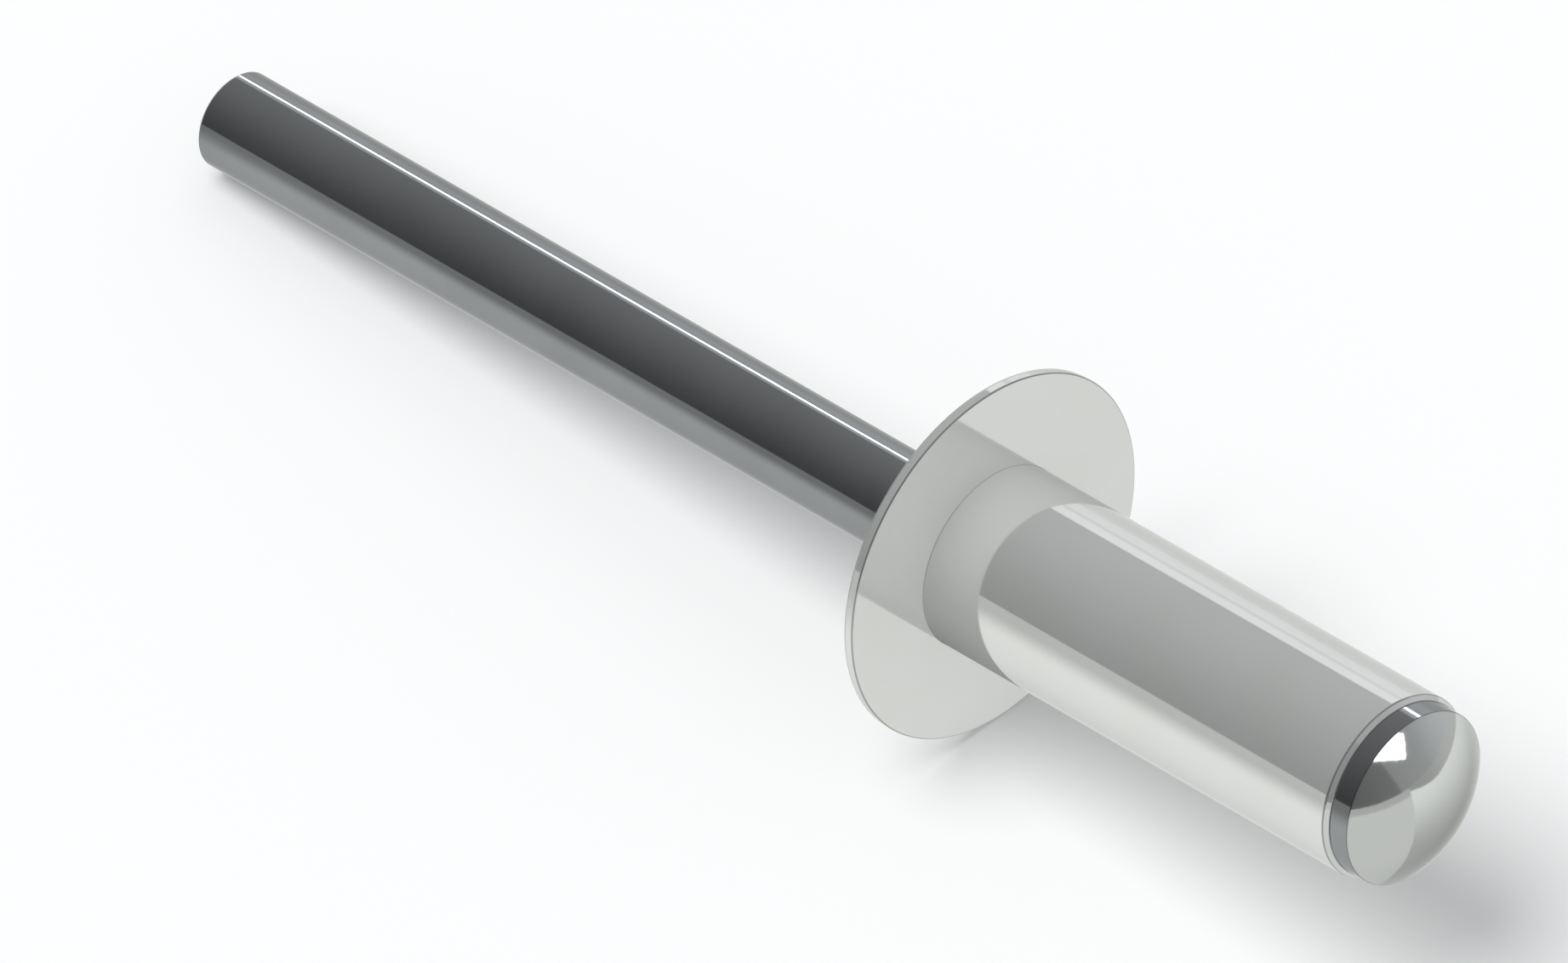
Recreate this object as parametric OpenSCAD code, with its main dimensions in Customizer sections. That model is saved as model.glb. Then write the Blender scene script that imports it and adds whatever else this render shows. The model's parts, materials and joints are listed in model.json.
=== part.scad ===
// Open-end blind rivet with a protruding head, unset, lying as it comes to rest.
// The rivet body is a flange and a tubular shank in one piece. The pulling mandrel runs through
// its bore, and the mandrel's head seats on the shank's blind end. All sizes are in millimetres.

/* [Shank] */
// Diameter of the shank
shank_d = 5; // [4.4:0.1:6.4]
// Length of the shank, from the underside of the flange to the blind end
shank_l = 14; // [8:0.5:25]
// Bevel round the shank's blind end
shank_bevel = 0.13; // [0.05:0.01:0.2]
// Radius of the fillet where the shank meets the flange
root_fillet = 0.08; // [0.04:0.01:0.2]

/* [Flange] */
// Diameter of the flange
flange_d = 10; // [8.5:0.1:11]
// Thickness of the flange at its rim
rim_t = 0.28; // [0.2:0.02:0.6]
// Height of the domed crown above the rim, at the axis
crown_h = 1; // [0.7:0.05:1.6]

/* [Bore] */
// Gap all round between the mandrel and the bore
bore_clearance = 0.05; // [0.02:0.01:0.1]
// Bevel of the bore's mouth in the crown
mouth_bevel = 0.15; // [0.05:0.05:0.3]

/* [Mandrel stem] */
// Diameter of the stem
stem_d = 2.65; // [2.2:0.05:2.9]
// Reach of the stem from the underside of the flange to its cut end
stem_reach = 27; // [24:0.5:40]
// Bevel round the stem's cut end
stem_bevel = 0.1; // [0.05:0.01:0.3]

/* [Break neck] */
// Distance from the blind end back to the middle of the neck
neck_setback = 3; // [2:0.5:5]
// Depth of each of the notches pinched into the stem
neck_depth = 0.36; // [0.2:0.02:0.4]
// Width of the flat floor of a notch, along the stem
neck_floor = 0.12; // [0.05:0.01:0.4]
// Slope of a notch's two sides from the stem's surface, in degrees
neck_slope = 45; // [35:5:60]
// Number of notches round the stem
neck_notches = 4; // [2:1:4]

/* [Mandrel head] */
// Step from the shank's side in to the head's side
head_inset = 0.12; // [0.05:0.01:0.3]
// Height of the head's edge
head_edge = 0.57; // [0.3:0.01:1]
// Draft of the head's edge, which narrows it towards the dome, in degrees
head_draft = 1.5; // [0.5:0.5:4]
// Height of the head's dome above its edge
head_dome = 0.88; // [0.5:0.02:1.2]
// Width of the seat cone under the head, beyond the stem
seat_w = 0.32; // [0.15:0.01:0.35]
// Depth of the seat cone in the bore
seat_depth = 0.45; // [0.2:0.05:0.8]

/* [Lie] */
// Turn of the rivet about its own axis as it lies, which sets where the notches point, in degrees
lie_turn = 45; // [0:0.5:90]

/* [Hidden] */
$fn = 144;
// Overlap that carries a cut past the face it opens
spare = 1;

shank_r = shank_d / 2;
flange_r = flange_d / 2;
stem_r = stem_d / 2;
bore_r = stem_r + bore_clearance;
head_r = shank_r - head_inset;
dome_r = head_r - head_edge * tan(head_draft);
dome_foot = shank_l + head_edge;
flange_top = rim_t + crown_h;

// Radius of the ball whose cap has this base radius and this height
function cap_ball(base_r, h) = (base_r * base_r + h * h) / (2 * h);

// At rest the rivet lies on two corners: the crown's edge at the bottom of the flange's rim, and
// the lowest point of the stem's cut end, above its bevel. The line through both is the floor.
rest_tilt = atan((flange_r - stem_r) / (stem_reach - stem_bevel - rim_t));
axis_z = flange_r * cos(rest_tilt) + rim_t * sin(rest_tilt);

// The rivet's two ends along the floor: the upper corner of the cut end, and the dome's foremost point
tail_x = -stem_reach * cos(rest_tilt) - (stem_r - stem_bevel) * sin(rest_tilt);
dome_ball = cap_ball(dome_r, head_dome);
nose_x = (dome_foot + head_dome - dome_ball) * cos(rest_tilt) + dome_ball;

// Lays a piece that was modelled upright, with its axis on Z and the flange's underside at z = 0,
// on the floor: the blind end points to +X and the origin is under the middle of the length.
module laid() {
    translate([-(tail_x + nose_x) / 2, 0, axis_z])
        rotate([0, 90 - rest_tilt, 0])
            rotate([0, 0, lie_turn])
                children();
}

// Half section of a cap: flat base on y = 0, its middle on the axis
module cap_section(base_r, h) {
    intersection() {
        translate([0, h - cap_ball(base_r, h)])
            circle(r = cap_ball(base_r, h));
        square([base_r, h]);
    }
}

// Half section of the fillet in the corner between the shank and the flange's underside
module root_section() {
    translate([shank_r, 0])
        difference() {
            square(root_fillet);
            translate([root_fillet, root_fillet])
                circle(r = root_fillet);
        }
}

// Half section of the shank, with the bevel at its blind end
module shank_section() {
    polygon([
        [0, 0],
        [shank_r, 0],
        [shank_r, shank_l - shank_bevel],
        [shank_r - shank_bevel, shank_l],
        [0, shank_l]
    ]);
}

// Half section of the flange: the thin straight rim, and the crown that faces the setting tool
module flange_section() {
    translate([0, -rim_t])
        square([flange_r, rim_t]);
    translate([0, -rim_t])
        mirror([0, 1])
            cap_section(flange_r, crown_h);
}

// Half section of all that is cut out for the mandrel: the bore, its bevelled mouth in the crown,
// and the seat for the cone under the mandrel's head
module bore_section() {
    crown_at_bore = flange_top - (cap_ball(flange_r, crown_h)
        - sqrt(pow(cap_ball(flange_r, crown_h), 2) - bore_r * bore_r));
    polygon([
        [0, -crown_at_bore - spare],
        [bore_r + mouth_bevel + spare, -crown_at_bore - spare],
        [bore_r, -crown_at_bore + mouth_bevel],
        [bore_r, shank_l - seat_depth],
        [bore_r + seat_w, shank_l],
        [bore_r + seat_w, shank_l + spare],
        [0, shank_l + spare]
    ]);
}

// Flange and tubular shank, cold-headed from one slug
module rivet_body() {
    color([0.84, 0.85, 0.83])
        laid()
            rotate_extrude()
                difference() {
                    union() {
                        shank_section();
                        flange_section();
                        root_section();
                    }
                    bore_section();
                }
}

// Half section of the mandrel: bevelled cut end, stem, seat cone, and head with its edge and dome
module mandrel_section() {
    polygon([
        [0, -stem_reach],
        [stem_r - stem_bevel, -stem_reach],
        [stem_r, -stem_reach + stem_bevel],
        [stem_r, shank_l - seat_depth],
        [stem_r + seat_w, shank_l],
        [head_r, shank_l],
        [dome_r, dome_foot],
        [0, dome_foot]
    ]);
    translate([0, dome_foot])
        cap_section(dome_r, head_dome);
}

// One notch of the break neck, cut across the stem by a blunt wedge that comes in along +X
module neck_notch() {
    opening = neck_floor / 2 + neck_depth / tan(neck_slope);
    flare = spare / tan(neck_slope);
    rotate([90, 0, 0])
        linear_extrude(height = stem_d, center = true)
            polygon([
                [stem_r - neck_depth, -neck_floor / 2],
                [stem_r + spare, -opening - flare],
                [stem_r + spare, opening + flare],
                [stem_r - neck_depth, neck_floor / 2]
            ]);
}

// Wire stem with its pinched break neck, and the head that draws the shank's end open
module mandrel() {
    color([0.45, 0.46, 0.48])
        laid()
            difference() {
                rotate_extrude()
                    mandrel_section();
                for (i = [0 : neck_notches - 1])
                    translate([0, 0, shank_l - neck_setback])
                        rotate([0, 0, i * 360 / neck_notches])
                            neck_notch();
            }
}

rivet_body();
mandrel();
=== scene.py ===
"""Open-end blind rivet, unset, on its pulling mandrel, lying on a pale studio floor.

The aluminium rivet body and the steel mandrel are surfaces of revolution about the rivet's own
axis. Each stands for the solid of the same name in the frame and keeps its place and size.
"""

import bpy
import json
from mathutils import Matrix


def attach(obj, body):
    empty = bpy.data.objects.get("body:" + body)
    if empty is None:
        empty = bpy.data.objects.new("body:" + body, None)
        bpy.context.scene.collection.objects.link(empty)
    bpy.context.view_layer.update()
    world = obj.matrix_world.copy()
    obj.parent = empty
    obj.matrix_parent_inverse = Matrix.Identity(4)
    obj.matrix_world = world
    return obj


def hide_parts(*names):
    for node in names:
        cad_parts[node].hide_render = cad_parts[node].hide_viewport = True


bl_info = {
    "name": "Blind rivet",
    "version": (1, 0, 0),
    "blender": (4, 5, 0),
    "location": "3D View > Sidebar > Blind rivet",
    "description": "Makes an unset open-end blind rivet and the studio that it is shown in",
    "category": "Object",
}

import json
import math

import bpy
import numpy as np
from bpy.props import (
    FloatProperty,
    FloatVectorProperty,
    IntProperty,
    PointerProperty,
)
from mathutils import Matrix, Vector

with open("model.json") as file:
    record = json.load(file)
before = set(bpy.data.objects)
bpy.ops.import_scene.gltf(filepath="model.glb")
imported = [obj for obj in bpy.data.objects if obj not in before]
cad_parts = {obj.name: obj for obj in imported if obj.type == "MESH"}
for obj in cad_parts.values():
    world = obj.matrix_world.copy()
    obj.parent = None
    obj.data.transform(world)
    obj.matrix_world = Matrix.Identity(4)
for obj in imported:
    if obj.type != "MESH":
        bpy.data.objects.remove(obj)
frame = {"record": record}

MM = 0.001
MOUNTS = {mount["name"]: mount for mount in frame["record"]["mounts"]}

# The rivet's own axes: AXIS runs to the blind end from SEAT, the middle of the flange's underside.
# DOWN and SIDE stand square to it, DOWN towards the floor.
SEAT = np.array(MOUNTS["flange_seat"]["pos_m"], float)
AXIS = np.array(MOUNTS["flange_seat"]["axis"], float)
AXIS /= np.linalg.norm(AXIS)
SIDE = np.array([0.0, 1.0, 0.0])
DOWN = np.cross(SIDE, AXIS)
TILT = math.atan2(AXIS[2], AXIS[0])

SHANK_R = MOUNTS["shank"]["dims"]["r_mm"] * MM
STEM_R = MOUNTS["tool_stem"]["dims"]["r_mm"] * MM

# Where the blind end stands along X, and how high the rivet's axis passes over the world's origin
NOSE_X = 2 * MOUNTS["shank"]["pos_m"][0] - SEAT[0]
AXIS_Z = SEAT[2] - SEAT[0] * math.tan(TILT)

# Points on a ring of the body and of the mandrel, points on the arcs of the crown and the dome,
# rings at the break neck, and the longest step along a straight run of an outline
BODY_AROUND = 288
MANDREL_AROUND = 256
CROWN_POINTS = 60
DOME_POINTS = 72
NECK_RINGS = 47
LONGEST_STEP = 1.0 * MM
# Places that are nearer to each other than this are one place
SAME_PLACE = 1e-9

# How far the eased edges go over to their duller tone, how deep the drawn lines are, and how many
# times as deep the ridges of the cut end are
EDGE_DULLNESS = 0.7
LINE_DEPTH = 0.004 * MM
RIDGE_DEPTH = 20.0
# How far the flange's underside falls into shade, at the most, where the shank mirrors it
UNDERSIDE_SHADE = 0.5

# The floor where the metal mirrors it: the share of its own tone that stays lit, the tone that it
# glows in, and the tone that it glows in where the metal mirrors it a second time
PAPER_SHARE = 0.1
PAPER_GLOW = (0.833, 0.853, 0.833)
SECOND_GLOW = (0.84, 0.86, 0.87)
# The room's tint, and its strength: seen directly, for the light on the floor, past the floor's
# far edge, and where the metal mirrors it a second time
ROOM_TINT = (0.975, 1.0, 1.012)
ROOM_SEEN = 0.95
ROOM_ON_FLOOR = 0.5
PAST_FLOOR = 0.92
SECOND_ROOM = 0.86
# A ray that was mirrored twice has a depth over this, on the floor and in the room
TWICE_ON_FLOOR = 1.5
TWICE_IN_ROOM = 2.5
# Brightness of the two panels, and half the floor's width
STRIP_GLOW = 5.5
SOFTBOX_GLOW = 3.0
FLOOR_HALF = 2.0
BLACK = (0.0, 0.0, 0.0, 1.0)

# The way the camera looks, as azimuth and elevation
LOOK_AZIMUTH = math.radians(44.45)
LOOK_ELEVATION = math.radians(46.41)
# The middle of the picture: a point of the rivet's axis, and how far to its left and below it
AIM_ALONG = -6.81 * MM
AIM_LEFT = 0.400 * MM
AIM_BELOW = 0.919 * MM
# Width of the camera's sensor, in the unit of its focal length
SENSOR = 36.0


def length(name, description, default, low, high):
    """A size property in metres, shown in the scene's own unit."""
    return FloatProperty(
        name=name,
        description=description,
        default=default,
        min=low,
        max=high,
        precision=5,
        unit="LENGTH",
    )


def colour(name, description, default):
    """A colour property with red, green and blue from 0 to 1."""
    return FloatVectorProperty(
        name=name,
        description=description,
        default=default,
        min=0.0,
        max=1.0,
        size=3,
        subtype="COLOR",
    )


class RivetBodySizes(bpy.types.PropertyGroup):
    """Sizes of the flange, the shank and the bore."""

    shank_r: length("Shank radius", "Radius of the shank", SHANK_R, 0.001, 0.004)
    shank_l: length(
        "Shank length", "Underside of the flange to the blind end", 14 * MM, 0.004, 0.03
    )
    shank_bevel: length(
        "Shank bevel", "Bevel round the blind end", 0.13 * MM, 0.0, 0.0005
    )
    root_fillet: length(
        "Root fillet", "Fillet where shank meets flange", 0.01 * MM, 0.0, 0.0005
    )
    flange_r: length("Flange radius", "Radius of the flange", 5 * MM, 0.003, 0.008)
    rim_t: length(
        "Rim thickness", "Flange thickness at the rim", 0.28 * MM, 0.0001, 0.001
    )
    crown_h: length(
        "Crown height", "Height of the crown above the rim", 1.0 * MM, 0.0003, 0.002
    )
    bore_gap: length(
        "Bore gap", "Gap between mandrel and bore", 0.05 * MM, 0.00001, 0.0002
    )
    mouth_bevel: length(
        "Mouth bevel", "Bevel of the bore's mouth", 0.15 * MM, 0.0, 0.0005
    )
    edge_ease: length(
        "Edge ease", "Radius that eases the body's edges", 0.045 * MM, 0.000005, 0.0001
    )
    metal: colour("Aluminium", "Colour that the aluminium reflects", (0.740, 0.747, 0.728))


class MandrelSizes(bpy.types.PropertyGroup):
    """Sizes of the stem, its break neck and the head."""

    stem_r: length("Stem radius", "Radius of the stem", STEM_R, 0.0008, 0.002)
    stem_reach: length(
        "Stem reach", "Underside of the flange to the cut end", 27 * MM, 0.02, 0.04
    )
    stem_bevel: length(
        "Cut end bevel", "Bevel round the cut end", 0.1 * MM, 0.0, 0.0003
    )
    neck_setback: length(
        "Neck setback", "Blind end back to the break neck", 3 * MM, 0.002, 0.005
    )
    neck_depth: length(
        "Neck depth", "Depth of the break neck's notches", 0.36 * MM, 0.0001, 0.0005
    )
    neck_floor: length(
        "Neck floor", "Width of a notch's flat floor", 0.12 * MM, 0.00005, 0.0005
    )
    neck_slope: FloatProperty(
        name="Neck slope",
        description="Slope of a notch's sides",
        default=math.radians(45),
        min=math.radians(30),
        max=math.radians(70),
        subtype="ANGLE",
    )
    neck_turn: FloatProperty(
        name="Neck turn",
        description="Turn of the notches about the rivet's axis",
        default=math.radians(45),
        min=0.0,
        max=math.radians(90),
        subtype="ANGLE",
    )
    neck_notches: IntProperty(
        name="Notches", description="Number of notches", default=4, min=2, max=6
    )
    head_inset: length(
        "Head inset", "Shank's side in to the head's side", 0.12 * MM, 0.0, 0.0004
    )
    head_edge: length(
        "Head edge", "Height of the head's edge", 0.57 * MM, 0.0002, 0.001
    )
    head_draft: FloatProperty(
        name="Head draft",
        description="Draft of the head's edge",
        default=math.radians(1.5),
        min=0.0,
        max=math.radians(5),
        subtype="ANGLE",
    )
    head_dome: length(
        "Head dome", "Height of the dome above the edge", 0.88 * MM, 0.0004, 0.0014
    )
    seat_w: length(
        "Seat width", "Width of the seat cone beyond the stem", 0.32 * MM, 0.0001, 0.0005
    )
    seat_depth: length(
        "Seat depth", "Depth of the seat cone in the bore", 0.45 * MM, 0.0001, 0.001
    )
    edge_ease: length(
        "Edge ease", "Radius that eases the mandrel's edges", 0.03 * MM, 0.000005, 0.0001
    )
    wire: colour("Wire", "Colour that the drawn wire reflects", (0.304, 0.311, 0.318))
    dome: colour("Dome", "Colour that the burnished dome reflects", (0.68, 0.69, 0.68))


class StudioSettings(bpy.types.PropertyGroup):
    """Floor, light and camera of the studio."""

    floor: colour("Floor", "Colour of the floor", (0.96, 0.96, 0.96))
    frame_width: length(
        "Frame width", "Width that the picture shows at the rivet", 39.107 * MM, 0.01, 0.2
    )
    lens: FloatProperty(
        name="Lens",
        description="Focal length, long so that lines stay parallel",
        default=1000.0,
        min=50.0,
        max=1050.0,
        unit="CAMERA",
    )
    key: FloatProperty(
        name="Key",
        description="Strength of the overhead lamp",
        default=1.9,
        min=0.0,
        max=10.0,
    )


def on_axis(along):
    """The point of the rivet's axis at this distance from the flange's underside."""
    return SEAT + along * AXIS


def eased_outline(corners, radii, steps=8):
    """A polyline with arcs for corners: its points (along, radius), outward normals and edge.

    At a corner with radius R, where the heading turns by an angle T, the arc starts R tan(T/2)
    before the corner and its heading turns evenly through T. A corner with no radius stays one
    point whose normal halves the angle. Outwards is to the left of the way the outline runs. The
    edge is 0 on the straight runs, and rises to 1 at the middle of each arc.
    """
    corners = np.asarray(corners, float)
    radii = np.asarray(radii, float)
    run = np.diff(corners, axis=0)
    heading = np.unwrap(np.arctan2(run[:, 1], run[:, 0]))
    into = np.concatenate([heading[:1], heading])
    out = np.concatenate([heading, heading[-1:]])
    turn = out - into
    side = np.sign(turn)
    reach = radii * np.tan(np.abs(turn) / 2)
    start = corners - reach[:, None] * np.stack([np.cos(into), np.sin(into)], 1)
    left = np.stack([-np.sin(into), np.cos(into)], 1)
    centre = start + (side * radii)[:, None] * left
    share = np.linspace(0.0, 1.0, steps + 1)
    angle = into[:, None] + turn[:, None] * share[None, :]
    angle = np.where(radii[:, None] > 0, angle, (into + turn / 2)[:, None])
    normal = np.stack([-np.sin(angle), np.cos(angle)], 2)
    point = centre[:, None, :] - (side * radii)[:, None, None] * normal
    point = np.where(radii[:, None, None] > 0, point, corners[:, None, :])
    keep = np.ones(angle.shape, bool)
    keep[radii <= 0, 1:] = False
    edge = np.where(radii[:, None] > 0, np.sin(np.pi * share)[None, :], 0.0)
    return point[keep], normal[keep], edge[keep]


def cap_points(base_r, height, foot, count):
    """Points (along, radius) of a ball's cap, from its base at foot to its top.

    The ball's radius is (base_r squared plus height squared) over twice the height, and the points
    are evenly spread over the cap's arc.
    """
    ball = (base_r**2 + height**2) / (2 * height)
    angle = np.linspace(math.asin(min(1.0, base_r / ball)), 0.0, count)
    along = foot + (height - ball + ball * np.cos(angle))
    return np.stack([along, ball * np.sin(angle)], 1)


def split_runs(points, normals, edge):
    """The same outline, with its straight runs cut so that no step is over LONGEST_STEP."""
    step = np.linalg.norm(np.diff(points, axis=0), axis=1)
    pieces = np.maximum(1, np.ceil(step / LONGEST_STEP)).astype(int)
    first = np.repeat(np.arange(len(step)), pieces)
    inside = np.arange(len(first)) - np.repeat(np.cumsum(pieces) - pieces, pieces)
    share = (inside / np.repeat(pieces, pieces))[:, None]

    def between(values):
        """The values at the old points and at the new ones between them."""
        return np.concatenate(
            [values[first] * (1 - share) + values[first + 1] * share, values[-1:]]
        )

    turned = between(normals)
    turned /= np.linalg.norm(turned, axis=1)[:, None]
    return between(points), turned, between(edge[:, None])[:, 0]


def ring_angles(around):
    """The angles of the points on a ring, from DOWN over SIDE."""
    return np.arange(around) * (2 * math.pi / around)


def spokes(around):
    """The directions from the axis to a ring's points: at angle A, cos A DOWN + sin A SIDE."""
    angle = ring_angles(around)
    return np.cos(angle)[:, None] * DOWN + np.sin(angle)[:, None] * SIDE


def carried_round(points, normals, around):
    """An outline carried round the axis: along, radius and normal for each point of each ring."""
    ones = np.ones(around)
    normal = normals[:, :1, None] * AXIS + normals[:, 1:, None] * spokes(around)
    return points[:, :1] * ones, points[:, 1:] * ones, normal


def ring_places(along, radius):
    """Where the points of the rings are: the point of the axis, plus radius times the spoke."""
    return SEAT + along[..., None] * AXIS + radius[..., None] * spokes(along.shape[1])


def ring_faces(rings, around, closed, poles):
    """The faces between rings of points: all their corners in turn, and how many each face has.

    A pole is a ring drawn together to its first point. A face that would have the pole twice loses
    the second one and is a triangle.
    """
    index = np.arange(rings * around).reshape(rings, around)
    lower = index if closed else index[:-1]
    upper = np.roll(index, -1, axis=0) if closed else index[1:]
    quads = np.stack(
        [lower, np.roll(lower, -1, axis=1), np.roll(upper, -1, axis=1), upper], -1
    ).reshape(-1, 4)
    keep = np.ones(quads.shape, bool)
    for ring in poles:
        pole = index[ring][0]
        quads = np.where(np.isin(quads, index[ring]), pole, quads)
        here = quads == pole
        rows = np.nonzero(here.sum(1) == 2)[0]
        keep[rows, 3 - np.argmax(here[rows, ::-1], axis=1)] = False
    return quads[keep], keep.sum(1)


def ring_mesh(name, place, normal, edge):
    """A piece made of rings of points about the rivet's axis, one ring for each outline point.

    A ring of no radius is a pole, made one vertex. An outline that comes back to its start closes
    on itself.
    """
    closed = np.allclose(place[0], place[-1], atol=SAME_PLACE)
    if closed:
        place, normal, edge = place[:-1], normal[:-1], edge[:-1]
    rings, around = place.shape[:2]
    ends = () if closed else (0, rings - 1)
    poles = [ring for ring in ends if np.ptp(place[ring], axis=0).max() < SAME_PLACE]
    corners, counts = ring_faces(rings, around, closed, poles)
    used, corners = np.unique(corners, return_inverse=True)
    points = place.reshape(-1, 3)[used]
    wear = np.repeat(edge, around)[used]
    normals = normal.reshape(-1, 3)[used]
    normals /= np.linalg.norm(normals, axis=1)[:, None]

    mesh = bpy.data.meshes.new(name)
    mesh.vertices.add(len(points))
    mesh.vertices.foreach_set("co", points.ravel())
    mesh.loops.add(len(corners))
    mesh.loops.foreach_set("vertex_index", corners.astype(np.int32))
    mesh.polygons.add(len(counts))
    start = np.concatenate([[0], np.cumsum(counts)[:-1]]).astype(np.int32)
    mesh.polygons.foreach_set("loop_start", start)
    mesh.update(calc_edges=True)
    mesh.validate()
    mesh.polygons.foreach_set("use_smooth", np.ones(len(mesh.polygons), bool))
    mesh.normals_split_custom_set_from_vertices(normals.tolist())
    worn = mesh.attributes.new("edge", "FLOAT", "POINT")
    worn.data.foreach_set("value", wear.astype(np.float32))
    piece = bpy.data.objects.new(name, mesh)
    bpy.context.scene.collection.objects.link(piece)
    return piece


def body_outline(sizes, mandrel):
    """The closed half section of the rivet body: crown, rim, underside, shank, blind end, bore.

    It starts and ends in the middle of the bevel of the bore's mouth.
    """
    bore_r = mandrel.stem_r + sizes.bore_gap
    crown = cap_points(sizes.flange_r, sizes.crown_h, 0.0, CROWN_POINTS)
    crown = np.stack([-sizes.rim_t - crown[:, 0], crown[:, 1]], 1)[::-1]
    mouth_r = bore_r + sizes.mouth_bevel
    mouth_along = np.interp(mouth_r, crown[:, 1], crown[:, 0])
    # The crown's points right beside the mouth make room for the arc that eases the mouth's edge
    crown = crown[crown[:, 1] > mouth_r + 0.05 * MM]
    ease = sizes.edge_ease
    outline = [
        ((mouth_along, mouth_r), ease),
        *[(tuple(p), 0.0) for p in crown[:-1]],
        ((-sizes.rim_t, sizes.flange_r), ease * 2),
        ((0.0, sizes.flange_r), ease),
        ((0.0, sizes.shank_r), sizes.root_fillet),
        ((sizes.shank_l - sizes.shank_bevel, sizes.shank_r), ease * 2),
        ((sizes.shank_l, sizes.shank_r - sizes.shank_bevel), ease * 2),
        ((sizes.shank_l, bore_r + mandrel.seat_w), ease / 2),
        ((sizes.shank_l - mandrel.seat_depth, bore_r), ease),
        ((mouth_along + sizes.mouth_bevel, bore_r), ease),
    ]
    middle = (mouth_along + sizes.mouth_bevel / 2, (bore_r + mouth_r) / 2)
    corners = [middle, *[corner for corner, _ in outline], middle]
    radii = [0.0, *[radius for _, radius in outline], 0.0]
    return eased_outline(corners, radii)


def mandrel_outline(sizes, shank_r, shank_l):
    """The half section of the mandrel, from the middle of its cut end to the top of its dome."""
    head_r = shank_r - sizes.head_inset
    dome_r = head_r - sizes.head_edge * math.tan(sizes.head_draft)
    foot = shank_l + sizes.head_edge
    # The dome's first points make room for the arc that eases the edge at its foot
    dome = cap_points(dome_r, sizes.head_dome, foot, DOME_POINTS)[2:]
    ease = sizes.edge_ease
    outline = [
        ((-sizes.stem_reach, 0.0), 0.0),
        ((-sizes.stem_reach, sizes.stem_r - sizes.stem_bevel), ease * 2),
        ((-sizes.stem_reach + sizes.stem_bevel, sizes.stem_r), ease * 2),
        ((shank_l - sizes.seat_depth, sizes.stem_r), ease),
        ((shank_l, sizes.stem_r + sizes.seat_w), ease / 2),
        ((shank_l, head_r), ease),
        ((foot, dome_r), ease),
        *[(tuple(p), 0.0) for p in dome],
    ]
    return eased_outline(
        [corner for corner, _ in outline], [radius for _, radius in outline]
    )


def make_body(sizes, mandrel):
    """The rivet body: its outline carried round the rivet's axis."""
    points, normals, edge = split_runs(*body_outline(sizes, mandrel))
    along, radius, normal = carried_round(points, normals, BODY_AROUND)
    return ring_mesh("rivet_body_shell", ring_places(along, radius), normal, edge)


def make_mandrel(sizes, shank_r, shank_l):
    """The mandrel: its outline carried round the axis, with the break neck pinched in.

    A notch is flat across: at an angle F from the notch's middle its floor lies at
    (stem radius - depth) / cos F, and the stem keeps the lesser of that and its own radius. The
    depth falls off to both sides of the notch's floor along the stem, at the notch's slope.
    """
    points, normals, edge = split_runs(*mandrel_outline(sizes, shank_r, shank_l))
    neck = shank_l - sizes.neck_setback
    half = sizes.neck_floor / 2 + sizes.neck_depth / math.tan(sizes.neck_slope)
    on_stem = sizes.stem_r * 0.99

    # Close rings stand at the neck and a little past it, in place of those that were there
    close = neck + half * np.linspace(-1.15, 1.15, NECK_RINGS)
    clear = (np.abs(points[:, 0] - neck) >= half * 1.2) | (points[:, 1] <= on_stem)
    first = int(np.searchsorted(points[clear][:, 0], close[0]))
    last = first + NECK_RINGS
    close = np.stack([close, np.full(NECK_RINGS, sizes.stem_r)], 1)
    points = np.insert(points[clear], first, close, axis=0)
    straight_out = np.tile([0.0, 1.0], (NECK_RINGS, 1))
    normals = np.insert(normals[clear], first, straight_out, axis=0)
    edge = np.insert(edge[clear], first, np.zeros(NECK_RINGS))
    along, radius, normal = carried_round(points, normals, MANDREL_AROUND)

    sector = 2 * math.pi / sizes.neck_notches
    off = ring_angles(MANDREL_AROUND) - sizes.neck_turn
    off = np.mod(off + sector / 2, sector) - sector / 2
    away = np.maximum(np.abs(along - neck) - sizes.neck_floor / 2, 0.0)
    depth = sizes.neck_depth - away * math.tan(sizes.neck_slope)
    floor_r = (sizes.stem_r - np.maximum(depth, 0.0)) / np.cos(off)
    pinched = (depth > 0) & (radius > on_stem)
    radius = np.where(pinched, np.minimum(radius, floor_r), radius)

    # At the neck a normal is square to the lines through the points before and after, both ways
    place = ring_places(along, radius)
    span = place[first - 2 : last + 2]
    lengthwise = span[2:] - span[:-2]
    across = np.roll(span, -1, axis=1)[1:-1] - np.roll(span, 1, axis=1)[1:-1]
    normal[first - 1 : last + 1] = np.cross(across, lengthwise)
    return ring_mesh("mandrel_wire", place, normal, edge)


def plug(tree, socket, value):
    """Links an output to the socket, or sets the socket to a value."""
    if isinstance(value, bpy.types.NodeSocket):
        tree.links.new(value, socket)
    else:
        socket.default_value = value


def node(tree, kind, at, settings=None, **inputs):
    """A node of this kind with its settings, and with some inputs set or linked."""
    made = tree.nodes.new(kind)
    made.location = at
    for name, value in (settings or {}).items():
        setattr(made, name, value)
    for name, value in inputs.items():
        plug(tree, made.inputs[name.replace("_", " ")], value)
    return made


def maths(tree, operation, at, *values, clamp=False):
    """The output of a Math node that works on these values or sockets."""
    made = node(tree, "ShaderNodeMath", at, {"operation": operation, "use_clamp": clamp})
    for socket, value in zip(made.inputs, values):
        plug(tree, socket, value)
    return made.outputs[0]


def vector_maths(tree, operation, at, *values, **inputs):
    """A Vector Math node that works on these values or sockets."""
    made = node(tree, "ShaderNodeVectorMath", at, {"operation": operation}, **inputs)
    for socket, value in zip(made.inputs, values):
        plug(tree, socket, value)
    return made


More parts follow.
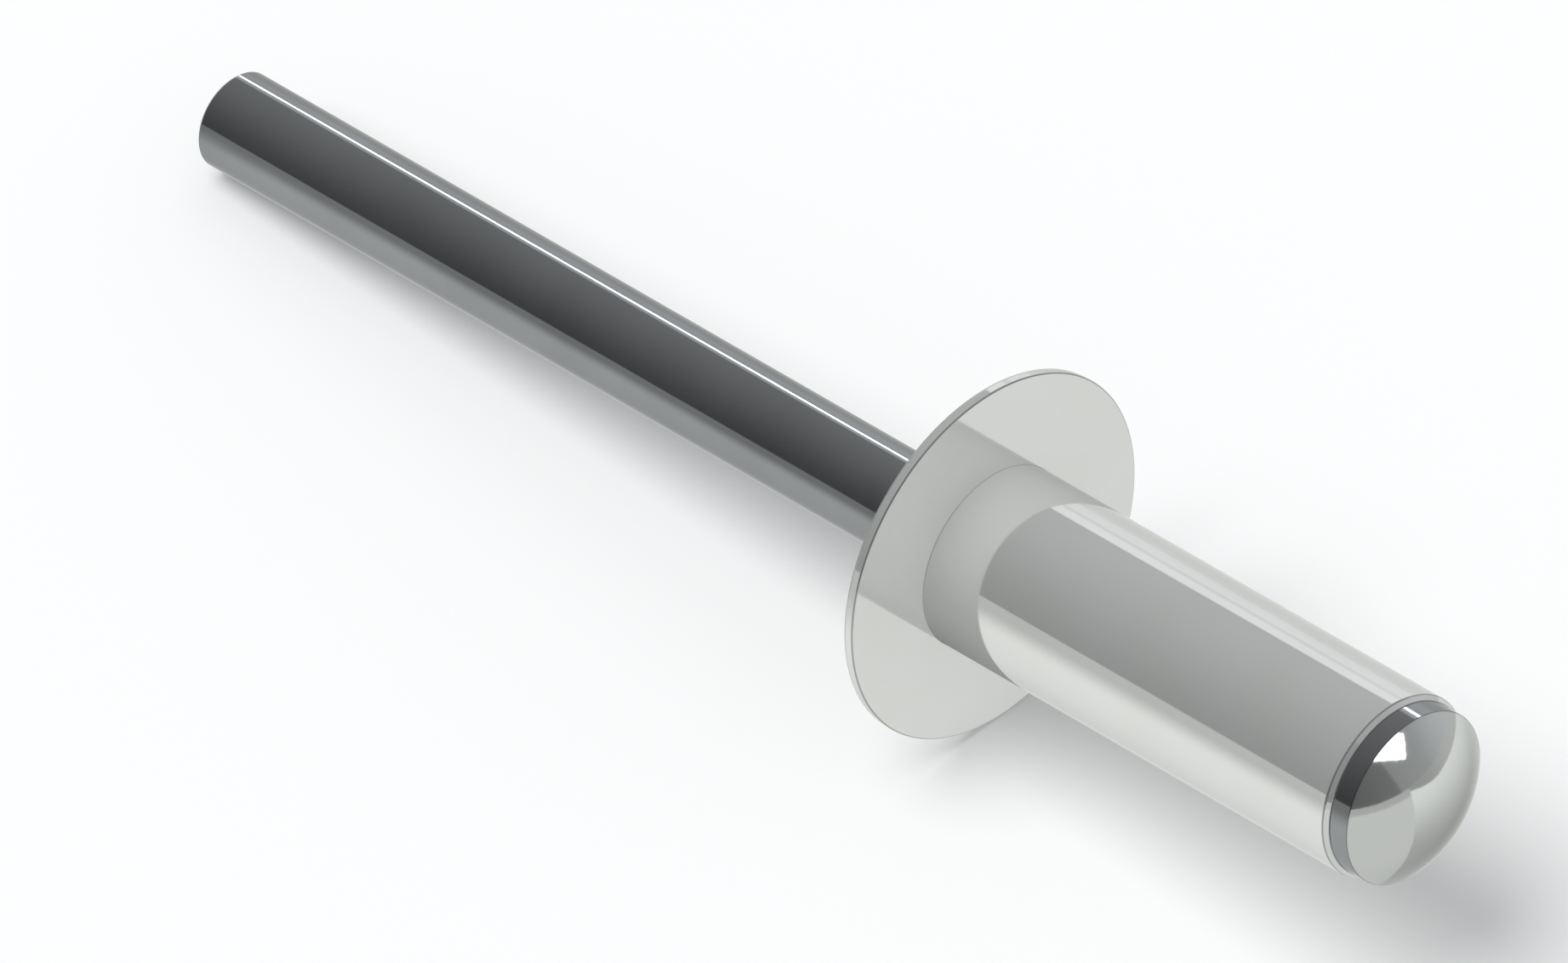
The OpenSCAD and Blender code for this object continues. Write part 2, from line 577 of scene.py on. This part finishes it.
def ramp(tree, value, low, high, at, start=0.0, end=1.0):
    """Goes smoothly from start to end while the value goes from low to high."""
    made = node(
        tree,
        "ShaderNodeMapRange",
        at,
        {"interpolation_type": "SMOOTHSTEP"},
        Value=value,
        From_Min=low,
        From_Max=high,
        To_Min=start,
        To_Max=end,
    )
    return made.outputs["Result"]


def mixed(tree, share, first, second, at):
    """The output of a node that mixes two numbers by a share."""
    made = node(tree, "ShaderNodeMix", at, Factor=share, A=first, B=second)
    return made.outputs["Result"]


def mixed_colour(tree, share, first, second, at):
    """The output of a node that mixes two colours by a share."""
    made = node(tree, "ShaderNodeMix", at, {"data_type": "RGBA"})
    for index, value in ((0, share), (6, first), (7, second)):
        plug(tree, made.inputs[index], value)
    return made.outputs[2]


def rgba(tone, factor=1.0):
    """A colour times a factor, or a factor for each part, with full alpha as sockets take it."""
    return (*(np.array(tone[:]) * factor), 1.0)


def new_group(name, inputs, outputs):
    """An empty node group, with inputs (name, kind, default) and outputs (name, kind)."""
    group = bpy.data.node_groups.new(name, "ShaderNodeTree")
    for label, kind, default in inputs:
        socket = group.interface.new_socket(
            label, in_out="INPUT", socket_type="NodeSocket" + kind
        )
        if default is not None:
            socket.default_value = default
    for label, kind in outputs:
        group.interface.new_socket(
            label, in_out="OUTPUT", socket_type="NodeSocket" + kind
        )
    return group


def rivet_coordinates():
    """Node group: the place on the rivet in millimetres, with Z along the rivet's own axis.

    X runs down and Y to the side, Along is the same as Z, and Radius is how far off the axis.
    """
    group = bpy.data.node_groups.get("rivet_coordinates")
    if group:
        return group
    group = new_group(
        "rivet_coordinates",
        [],
        [("Place", "Vector"), ("Along", "Float"), ("Radius", "Float")],
    )
    where = node(group, "ShaderNodeTexCoord", (-800, 0))
    shift = vector_maths(group, "SUBTRACT", (-600, 0), where.outputs["Object"], SEAT)
    turn = node(
        group,
        "ShaderNodeVectorRotate",
        (-400, 0),
        {"rotation_type": "Y_AXIS"},
        Vector=shift.outputs[0],
        Angle=TILT - math.pi / 2,
    )
    place = vector_maths(group, "SCALE", (-200, 0), turn.outputs[0], Scale=1 / MM)
    parts = node(group, "ShaderNodeSeparateXYZ", (0, -150), Vector=place.outputs[0])
    down, side, along = parts.outputs
    square = maths(group, "MULTIPLY", (200, -250), down, down)
    other = maths(group, "MULTIPLY", (200, -400), side, side)
    total = maths(group, "ADD", (400, -300), square, other)
    radius = maths(group, "SQRT", (550, -300), total)
    node(
        group,
        "NodeGroupOutput",
        (750, 0),
        Place=place.outputs[0],
        Along=along,
        Radius=radius,
    )
    return group


def drawn_lines():
    """Node group: fine lines that run along the axis, as a die leaves them on wire and tube.

    Length is how fast the pattern changes along the axis, against 1 across it: the less, the
    longer the lines. Patches is a broad mottle, for slight changes of tone.
    """
    group = bpy.data.node_groups.get("drawn_lines")
    if group:
        return group
    group = new_group(
        "drawn_lines",
        [("Place", "Vector", None), ("Fineness", "Float", 9.0), ("Length", "Float", 0.05)],
        [("Lines", "Float"), ("Patches", "Float")],
    )
    start = node(group, "NodeGroupInput", (-900, 0)).outputs
    parts = node(group, "ShaderNodeSeparateXYZ", (-700, 0), Vector=start["Place"]).outputs
    along = maths(group, "MULTIPLY", (-500, -150), parts["Z"], start["Length"])
    squeezed = node(
        group, "ShaderNodeCombineXYZ", (-300, 0), X=parts["X"], Y=parts["Y"], Z=along
    )
    fine = node(
        group,
        "ShaderNodeTexNoise",
        (-100, 100),
        Vector=squeezed.outputs[0],
        Scale=start["Fineness"],
        Detail=4.0,
        Roughness=0.6,
    )
    broad = node(
        group,
        "ShaderNodeTexNoise",
        (-100, -200),
        Vector=start["Place"],
        Scale=0.35,
        Detail=3.0,
    )
    node(
        group,
        "NodeGroupOutput",
        (200, 0),
        Lines=fine.outputs["Fac"],
        Patches=broad.outputs["Fac"],
    )
    return group


def new_material(name):
    """An empty node material: the material itself, its tree to fill, and its shader."""
    material = bpy.data.materials.new(name)
    material.use_nodes = True
    tree = material.node_tree
    tree.nodes.clear()
    shader = node(tree, "ShaderNodeBsdfPrincipled", (600, 0))
    node(tree, "ShaderNodeOutputMaterial", (900, 0), Surface=shader.outputs[0])
    return material, tree, shader


def worked_metal(tree, fineness, length):
    """What both metals use: the place on the rivet, drawn lines, patches and dulled edges."""
    spot = node(tree, "ShaderNodeGroup", (-1000, 0), {"node_tree": rivet_coordinates()})
    lines = node(
        tree,
        "ShaderNodeGroup",
        (-750, 0),
        {"node_tree": drawn_lines()},
        Place=spot.outputs["Place"],
        Fineness=fineness,
        Length=length,
    )
    worn = node(tree, "ShaderNodeAttribute", (-750, 300), {"attribute_name": "edge"})
    dulled = maths(tree, "MULTIPLY", (-250, 500), worn.outputs["Fac"], EDGE_DULLNESS)
    patches = ramp(tree, lines.outputs["Patches"], 0.3, 0.7, (-500, 200))
    return spot.outputs, lines.outputs["Lines"], patches, dulled


def bright_aluminium(tone):
    """Cold-headed aluminium: mirror-bright, with faint die lines along it and duller edges.

    Where the shank mirrors the flange's underside, it falls into shade down and to the near side.
    How far a spot lies that way is told from its place alone: (0.6 down - 0.8 side) / radius.
    """
    material, tree, shader = new_material("bright_aluminium")
    spot, lines, patches, dulled = worked_metal(tree, fineness=7.0, length=0.04)
    base = mixed_colour(
        tree,
        patches,
        rgba(tone, (0.985, 0.985, 0.98)),
        rgba(tone, (1.01, 1.01, 1.012)),
        (-250, 300),
    )
    base = mixed_colour(tree, dulled, base, rgba((0.15, 0.15, 0.15)), (0, 300))

    parts = node(tree, "ShaderNodeSeparateXYZ", (-750, 700), Vector=spot["Place"])
    down, side, _ = parts.outputs
    near = maths(tree, "MULTIPLY", (-550, 800), side, -0.8)
    near = maths(tree, "MULTIPLY_ADD", (-400, 750), down, 0.6, near)
    near = maths(tree, "DIVIDE", (-250, 750), near, spot["Radius"])
    near = maths(tree, "MULTIPLY_ADD", (-100, 750), near, 0.625, 0.375, clamp=True)
    shade = maths(tree, "POWER", (50, 750), near, 1.4)
    underside = maths(tree, "COMPARE", (-550, 950), spot["Along"], 0.0, 0.02)
    path = node(tree, "ShaderNodeLightPath", (-550, 1150))
    mirrored = maths(
        tree, "MULTIPLY", (-250, 950), underside, path.outputs["Is Glossy Ray"]
    )
    shade = maths(tree, "MULTIPLY", (200, 750), shade, mirrored)
    shade = maths(tree, "MULTIPLY", (200, 600), shade, UNDERSIDE_SHADE)
    base = mixed_colour(tree, shade, base, BLACK, (250, 300))

    plug(tree, shader.inputs["Base Color"], base)
    rough = ramp(tree, lines, 0.25, 0.75, (-500, -100), 0.045, 0.075)
    plug(tree, shader.inputs["Roughness"], rough)
    plug(tree, shader.inputs["Metallic"], 0.75)
    plug(tree, shader.inputs["Specular Tint"], rgba((0.75, 0.75, 0.75)))
    bump = node(
        tree,
        "ShaderNodeBump",
        (0, -300),
        Strength=0.05,
        Distance=LINE_DEPTH,
        Height=lines,
    )
    plug(tree, shader.inputs["Normal"], bump.outputs[0])
    return material


def drawn_steel(wire_tone, dome_tone, dome_foot, cut_end):
    """Drawn steel wire: dark and glossy with lines along it, burnished brighter on the dome.

    The cut end is paler and duller, with the short ridges that a shear leaves across it.
    """
    material, tree, shader = new_material("drawn_steel")
    spot, lines, patches, dulled = worked_metal(tree, fineness=11.0, length=0.03)
    wire = mixed_colour(
        tree, patches, rgba(wire_tone, 0.96), rgba(wire_tone, 1.04), (-250, 300)
    )
    foot = dome_foot / MM
    on_dome = ramp(tree, spot["Along"], foot - 0.01, foot + 0.03, (-500, 500))
    base = mixed_colour(tree, on_dome, wire, rgba(dome_tone), (0, 300))
    base = mixed_colour(tree, dulled, base, rgba((0.10, 0.10, 0.10)), (250, 300))

    end = cut_end / MM
    cut = ramp(tree, spot["Along"], end + 0.01, end + 0.04, (-500, 700), 1.0, 0.0)
    stretched = node(
        tree,
        "ShaderNodeMapping",
        (-750, -300),
        Vector=spot["Place"],
        Scale=(9.0, 1.1, 1.0),
    )
    ridges = node(
        tree,
        "ShaderNodeTexNoise",
        (-500, -350),
        Vector=stretched.outputs[0],
        Scale=1.6,
        Detail=5.0,
    ).outputs["Fac"]
    fresh = maths(tree, "MULTIPLY", (250, 600), cut, ridges)
    base = mixed_colour(tree, fresh, base, rgba((0.50, 0.50, 0.51)), (400, 400))
    plug(tree, shader.inputs["Base Color"], base)

    drawn = ramp(tree, lines, 0.25, 0.75, (-500, -100), 0.05, 0.09)
    torn = ramp(tree, ridges, 0.3, 0.7, (-250, -350), 0.20, 0.38)
    plug(tree, shader.inputs["Roughness"], mixed(tree, cut, drawn, torn, (0, -100)))
    plug(tree, shader.inputs["Metallic"], 1.0)
    plug(tree, shader.inputs["Specular Tint"], rgba((0.7, 0.7, 0.7)))
    deep = maths(tree, "MULTIPLY", (-50, -500), ridges, RIDGE_DEPTH)
    bump = node(
        tree,
        "ShaderNodeBump",
        (300, -300),
        Strength=0.06,
        Distance=LINE_DEPTH,
        Height=mixed(tree, cut, lines, deep, (100, -350)),
    )
    plug(tree, shader.inputs["Normal"], bump.outputs[0])
    return material


def seen_from_rivet(tree, x, y):
    """A floor spot's distance from the rivet, and how near the horizon it is seen from there.

    The second is distance / (distance + height of the rivet's axis over the floor): 0 right under
    the rivet, and 1 at the horizon. Past the blind end both are taken from the blind end. The
    height counts as 1 mm at the least.
    """
    past_end = maths(tree, "SUBTRACT", (-1300, 100), x, NOSE_X)
    past_end = maths(tree, "MAXIMUM", (-1150, 100), past_end, 0.0)
    flat = node(tree, "ShaderNodeCombineXYZ", (-1000, 100), X=past_end, Y=y)
    reach = vector_maths(tree, "LENGTH", (-850, 100), flat.outputs[0]).outputs["Value"]
    beside = maths(tree, "MINIMUM", (-1300, -150), x, NOSE_X)
    height = maths(
        tree, "MULTIPLY_ADD", (-1150, -150), beside, math.tan(TILT), AXIS_Z
    )
    height = maths(tree, "MAXIMUM", (-1000, -150), height, 1.0 * MM)
    whole = maths(tree, "ADD", (-850, -150), reach, height)
    return reach, maths(tree, "DIVIDE", (-700, -50), reach, whole)


def matt_floor(tone):
    """Matt paper that the rivet lies on. Mirrored in the metal it glows, almost without shadow.

    What the metal mirrors carries painted shade, told from the spot's place alone. Beside the
    rivet it is painted greyer far off, most of all in front. Past the blind end a painted shadow
    makes it greyer close by, and it is painted grey again beyond a border that comes nearer to
    the side. On the near side it is painted evenly grey, up to a darker painted brim.
    """
    material, tree, shader = new_material("matt_floor")
    where = node(tree, "ShaderNodeTexCoord", (-1700, 0)).outputs["Object"]
    parts = node(tree, "ShaderNodeSeparateXYZ", (-1500, 0), Vector=where)
    x, y, _ = parts.outputs
    reach, far = seen_from_rivet(tree, x, y)

    # Painted shade in the metal's mirror image of the floor, from the spot's place alone
    front = ramp(tree, y, -2 * MM, 2 * MM, (-700, 150), 0.5, 0.12)
    far_off = ramp(tree, far, 0.70, 0.96, (-500, -200))
    beside = maths(tree, "MULTIPLY", (-350, -100), front, far_off)

    close = ramp(tree, far, 0.43, 0.909, (-500, -400), 0.45, 0.0)
    side = maths(tree, "DIVIDE", (-850, -1000), y, reach)
    border = ramp(tree, side, -0.05, 0.62, (-700, -1000), 0.992, 0.872)
    past_border = maths(tree, "SUBTRACT", (-550, -1000), far, border)
    past_border = ramp(tree, past_border, -0.004, 0.004, (-400, -1000))
    distant = ramp(tree, side, 0.35, 1.0, (-700, -1200), 0.56, 0.34)
    far_side = mixed(tree, past_border, close, distant, (-350, -600))

    brim = ramp(tree, far, 0.903, 0.923, (-500, -600), 0.22, 0.42)
    across = maths(tree, "MULTIPLY_ADD", (-700, -800), x, -0.2, y)
    on_near_side = ramp(tree, across, -4.3 * MM, -4.1 * MM, (-500, -800), 1.0, 0.0)
    past_end = mixed(tree, on_near_side, far_side, brim, (-350, -400))

    at_end = ramp(tree, x, 17.6 * MM, 23.0 * MM, (-700, 300))
    # How much painted shade darkens the floor's mirror image, spot by spot
    painted_shade_share = mixed(tree, at_end, beside, past_end, (-200, -100))
    shade = maths(tree, "SUBTRACT", (-50, -100), 1.0, painted_shade_share)

    path = node(tree, "ShaderNodeLightPath", (-900, 350)).outputs
    mirrored = path["Is Glossy Ray"]
    twice = maths(tree, "GREATER_THAN", (-500, 450), path["Ray Depth"], TWICE_ON_FLOOR)
    once = maths(tree, "SUBTRACT", (-350, 450), 1.0, twice)
    paper = maths(tree, "MULTIPLY", (100, -200), shade, PAPER_SHARE)
    paper = maths(tree, "MULTIPLY", (250, -200), paper, once)
    lit = mixed(tree, mirrored, 1.0, paper, (400, 0))
    base = mixed_colour(tree, lit, BLACK, rgba(tone), (550, 100))
    plug(tree, shader.inputs["Base Color"], base)
    glow = maths(tree, "MULTIPLY", (100, 250), shade, mirrored)
    glow = mixed_colour(tree, glow, BLACK, rgba(PAPER_GLOW), (400, 350))
    again = maths(tree, "MULTIPLY", (250, 500), twice, mirrored)
    glow = mixed_colour(tree, again, glow, rgba(SECOND_GLOW), (550, 350))
    plug(tree, shader.inputs["Emission Color"], glow)
    plug(tree, shader.inputs["Emission Strength"], 1.0)
    plug(tree, shader.inputs["Roughness"], 0.9)
    plug(tree, shader.inputs["Specular IOR Level"], 0.0)
    return material


def look_axes():
    """The camera's right, up and back directions."""
    back = np.array(
        [
            math.sin(LOOK_AZIMUTH) * math.cos(LOOK_ELEVATION),
            -math.cos(LOOK_AZIMUTH) * math.cos(LOOK_ELEVATION),
            math.sin(LOOK_ELEVATION),
        ]
    )
    right = np.cross([0.0, 0.0, 1.0], back)
    right /= np.linalg.norm(right)
    return right, np.cross(back, right), back


def placed(x, y, z, origin):
    """The matrix that puts an object at the origin given, with these directions as its axes."""
    matrix = np.eye(4)
    matrix[:3, 0], matrix[:3, 1], matrix[:3, 2], matrix[:3, 3] = x, y, z, origin
    return Matrix(matrix)


def make_camera(settings):
    """A long lens that looks at the rivet from its blind end, with no roll."""
    right, up, back = look_axes()
    middle = on_axis(AIM_ALONG) - AIM_LEFT * right - AIM_BELOW * up
    data = bpy.data.cameras.new("picture_camera")
    data.lens = settings.lens
    data.sensor_width = SENSOR
    distance = settings.frame_width * settings.lens / SENSOR
    data.clip_start = distance * 0.2
    data.clip_end = distance * 4
    camera = bpy.data.objects.new("picture_camera", data)
    bpy.context.scene.collection.objects.link(camera)
    camera.matrix_world = placed(right, up, back, middle + back * distance)
    bpy.context.scene.camera = camera


def studio_world():
    """The room: a grey ceiling, paler to the back, and a pale low wall behind the stem.

    Past the blind end the ceiling is darker in front and paler to the side. Every part is told
    from the direction alone. What the camera sees directly is plain pale.
    """
    world = bpy.data.worlds.new("studio_room")
    bpy.context.scene.world = world
    world.use_nodes = True
    tree = world.node_tree
    tree.nodes.clear()
    where = node(tree, "ShaderNodeTexCoord", (-1400, 0)).outputs["Generated"]
    x, y, z = node(tree, "ShaderNodeSeparateXYZ", (-1200, 0), Vector=where).outputs

    toward_back = maths(
        tree, "MULTIPLY_ADD", (-1000, 500), y, 0.69, 0.586, clamp=True
    )
    eased = maths(tree, "POWER", (-850, 500), toward_back, 0.7)
    ceiling = maths(tree, "MULTIPLY_ADD", (-700, 500), eased, 0.30, 0.120)
    past_end = ramp(tree, x, 0.0, 0.3, (-850, 900))
    line = maths(tree, "MULTIPLY_ADD", (-1000, 700), z, 0.29, y)
    front = ramp(tree, line, 0.070, 0.115, (-850, 700), 0.34, 0.0)
    front = maths(tree, "MULTIPLY", (-700, 700), front, past_end)
    front = maths(tree, "SUBTRACT", (-550, 700), 1.0, front)
    aside = ramp(tree, y, 0.45, 1.0, (-850, 1100), 0.0, 0.20)
    aside = maths(tree, "MULTIPLY", (-700, 1100), aside, past_end)
    ceiling = maths(tree, "MULTIPLY_ADD", (-400, 500), ceiling, front, aside)

    behind = ramp(tree, y, -0.05, 0.10, (-900, 0))
    over_stem = ramp(tree, x, 0.0, 0.2, (-900, 200), 1.0, 0.0)
    low = ramp(tree, z, 0.418, 0.436, (-900, -200), 1.0, 0.0)
    wall = maths(tree, "MULTIPLY", (-600, -100), behind, low)
    wall = maths(tree, "MULTIPLY", (-450, -50), wall, over_stem)
    foot = ramp(tree, z, 0.205, 0.225, (-900, -400), 0.94, 0.80)
    top = ramp(tree, z, 0.272, 0.290, (-900, -600), 0.0, 0.15)
    wall_tone = maths(tree, "ADD", (-700, -500), foot, top)
    room = mixed(tree, wall, ceiling, wall_tone, (-150, 100))

    path = node(tree, "ShaderNodeLightPath", (250, 400)).outputs
    twice = maths(tree, "GREATER_THAN", (-350, 400), path["Ray Depth"], TWICE_IN_ROOM)
    twice = maths(tree, "MULTIPLY", (-200, 400), twice, path["Is Glossy Ray"])
    room = mixed(tree, twice, room, SECOND_ROOM, (50, 100))
    ground = ramp(tree, z, -0.01, 0.0, (-150, -300), 1.0, 0.0)
    room = mixed(tree, ground, room, PAST_FLOOR, (250, 100))
    room = mixed(tree, path["Is Diffuse Ray"], room, ROOM_ON_FLOOR, (350, 100))
    room = mixed(tree, path["Is Camera Ray"], room, ROOM_SEEN, (450, 100))
    light = node(
        tree, "ShaderNodeBackground", (650, 100), Color=rgba(ROOM_TINT), Strength=room
    )
    node(tree, "ShaderNodeOutputWorld", (850, 100), Surface=light.outputs[0])


def aimed_panel(name, centre, wide, high, glow):
    """A flat lamp that faces the rivet. It is as bright as a surface with this strength of glow.

    wide and high are its two edges, as directions with a length.
    """
    across, rise = np.linalg.norm(wide), np.linalg.norm(high)
    data = bpy.data.lights.new(name, "AREA")
    data.shape = "RECTANGLE"
    data.size, data.size_y = across, rise
    data.energy = glow * across * rise * math.pi
    lamp = bpy.data.objects.new(name, data)
    bpy.context.scene.collection.objects.link(lamp)
    x = wide / across
    y = high - x * float(x @ high)
    y /= np.linalg.norm(y)
    z = np.cross(x, y)
    if z @ (centre - SEAT) < 0:
        x, z = -x, -z
    lamp.matrix_world = placed(x, y, z, centre)
    lamp.visible_camera = False
    return lamp


def overhead_lamp(strength):
    """A broad lamp overhead. Its soft shadow falls to the right and back in the picture."""
    right, _, back = look_axes()
    data = bpy.data.lights.new("overhead", "SUN")
    data.energy = strength
    data.angle = math.radians(45)
    lamp = bpy.data.objects.new("overhead", data)
    bpy.context.scene.collection.objects.link(lamp)
    shadow_to = 0.9 * right - 0.45 * np.array([back[0], back[1], 0.0])
    fall = np.array([0.55 * shadow_to[0], 0.55 * shadow_to[1], -1.0])
    lamp.rotation_euler = Vector(fall).to_track_quat("-Z", "Y").to_euler()
    lamp.visible_glossy = False


def make_lamps(settings, mandrel):
    """An overhead lamp for the floor, and two panels that only the mandrel mirrors.

    The panels are placed by the rivet's own axis and by two directions about square to it: front,
    which points to the near side, and rise, which points up.
    """
    overhead_lamp(settings.key)
    _, up, back = look_axes()
    rise = math.sqrt(2 / 3) * up + back / math.sqrt(3)
    front = math.sqrt(3) * back - AXIS - rise

    # The strip is 250 by 30 mm and stands half a metre off, over the far side of the stem
    middle = SEAT + 0.5 * (-0.577 * AXIS - 0.656 * front + 0.485 * rise)
    facing = (middle - SEAT) / np.linalg.norm(middle - SEAT)
    wide = AXIS - facing * float(AXIS @ facing)
    wide /= np.linalg.norm(wide)
    high = np.cross(facing, wide)
    strip = aimed_panel("stem_strip", middle, wide * 0.25, high * 0.030, STRIP_GLOW)

    def corner(azimuth, elevation):
        """A softbox corner, 0.4 m from the blind end, in degrees from the axis and its plane."""
        a, e = math.radians(azimuth), math.radians(elevation)
        level = math.cos(a) * AXIS + math.sin(a) * front
        return on_axis(15 * MM) + 0.4 * (math.cos(e) * level + math.sin(e) * rise)

    lowest, near, far = corner(-15.0, 14.6), corner(16, 25), corner(-25, 30)
    softbox = aimed_panel(
        "dome_softbox", (near + far) / 2, near - lowest, far - lowest, SOFTBOX_GLOW
    )
    lit = bpy.data.collections.new("lit_mandrel")
    lit.objects.link(mandrel)
    for lamp in (strip, softbox):
        lamp.light_linking.receiver_collection = lit


class RIVET_OT_body(bpy.types.Operator):
    """Make the rivet body: flange, shank and bore"""

    bl_idname = "rivet.body"
    bl_label = "Rivet body"

    def execute(self, context):
        sizes = context.scene.rivet_body
        piece = make_body(sizes, context.scene.rivet_mandrel)
        piece.data.materials.append(bright_aluminium(sizes.metal))
        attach(piece, "root")
        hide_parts("rivet_body")
        return {"FINISHED"}


class RIVET_OT_mandrel(bpy.types.Operator):
    """Make the mandrel: stem, break neck, seat cone and head"""

    bl_idname = "rivet.mandrel"
    bl_label = "Mandrel"

    def execute(self, context):
        sizes = context.scene.rivet_mandrel
        body = context.scene.rivet_body
        piece = make_mandrel(sizes, body.shank_r, body.shank_l)
        foot = body.shank_l + sizes.head_edge
        piece.data.materials.append(drawn_steel(sizes.wire, sizes.dome, foot, -sizes.stem_reach))
        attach(piece, "root")
        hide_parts("mandrel")
        return {"FINISHED"}


class RIVET_OT_studio(bpy.types.Operator):
    """Make the floor, the light and the camera"""

    bl_idname = "rivet.studio"
    bl_label = "Studio"

    def execute(self, context):
        settings = context.scene.rivet_studio
        mandrel = bpy.data.objects.get("mandrel_wire")
        if mandrel is None:
            raise RuntimeError("make the mandrel before the studio")
        corners = [(-1, -1), (1, -1), (1, 1), (-1, 1)]
        corners = [(x * FLOOR_HALF, y * FLOOR_HALF, 0.0) for x, y in corners]
        mesh = bpy.data.meshes.new("studio_floor")
        mesh.from_pydata(corners, [], [(0, 1, 2, 3)])
        floor = bpy.data.objects.new("studio_floor", mesh)
        context.scene.collection.objects.link(floor)
        mesh.materials.append(matt_floor(settings.floor))
        studio_world()
        make_lamps(settings, mandrel)
        make_camera(settings)
        context.scene.view_settings.view_transform = "Standard"
        return {"FINISHED"}


class RIVET_PT_panel(bpy.types.Panel):
    """Lists the rivet's sizes and the buttons that make its pieces"""

    bl_idname = "RIVET_PT_panel"
    bl_label = "Blind rivet"
    bl_space_type = "VIEW_3D"
    bl_region_type = "UI"
    bl_category = "Blind rivet"

    def draw(self, context):
        layout = self.layout
        for holder, operator in (
            ("rivet_body", "rivet.body"),
            ("rivet_mandrel", "rivet.mandrel"),
            ("rivet_studio", "rivet.studio"),
        ):
            settings = getattr(context.scene, holder)
            box = layout.box()
            for name in settings.bl_rna.properties.keys():
                if name not in {"rna_type", "name"}:
                    box.prop(settings, name)
            box.operator(operator)


CLASSES = (
    RivetBodySizes,
    MandrelSizes,
    StudioSettings,
    RIVET_OT_body,
    RIVET_OT_mandrel,
    RIVET_OT_studio,
    RIVET_PT_panel,
)


def register():
    """Registers the classes and hangs the settings on the scene."""
    for cls in CLASSES:
        bpy.utils.register_class(cls)
    bpy.types.Scene.rivet_body = PointerProperty(type=RivetBodySizes)
    bpy.types.Scene.rivet_mandrel = PointerProperty(type=MandrelSizes)
    bpy.types.Scene.rivet_studio = PointerProperty(type=StudioSettings)


def unregister():
    """Takes the settings off the scene and unregisters the classes."""
    del bpy.types.Scene.rivet_studio
    del bpy.types.Scene.rivet_mandrel
    del bpy.types.Scene.rivet_body
    for cls in reversed(CLASSES):
        bpy.utils.unregister_class(cls)


def main():
    """Makes the pieces and the studio."""
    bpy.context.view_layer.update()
    register()
    bpy.ops.rivet.body()
    bpy.ops.rivet.mandrel()
    bpy.ops.rivet.studio()


if __name__ == "__main__":
    main()
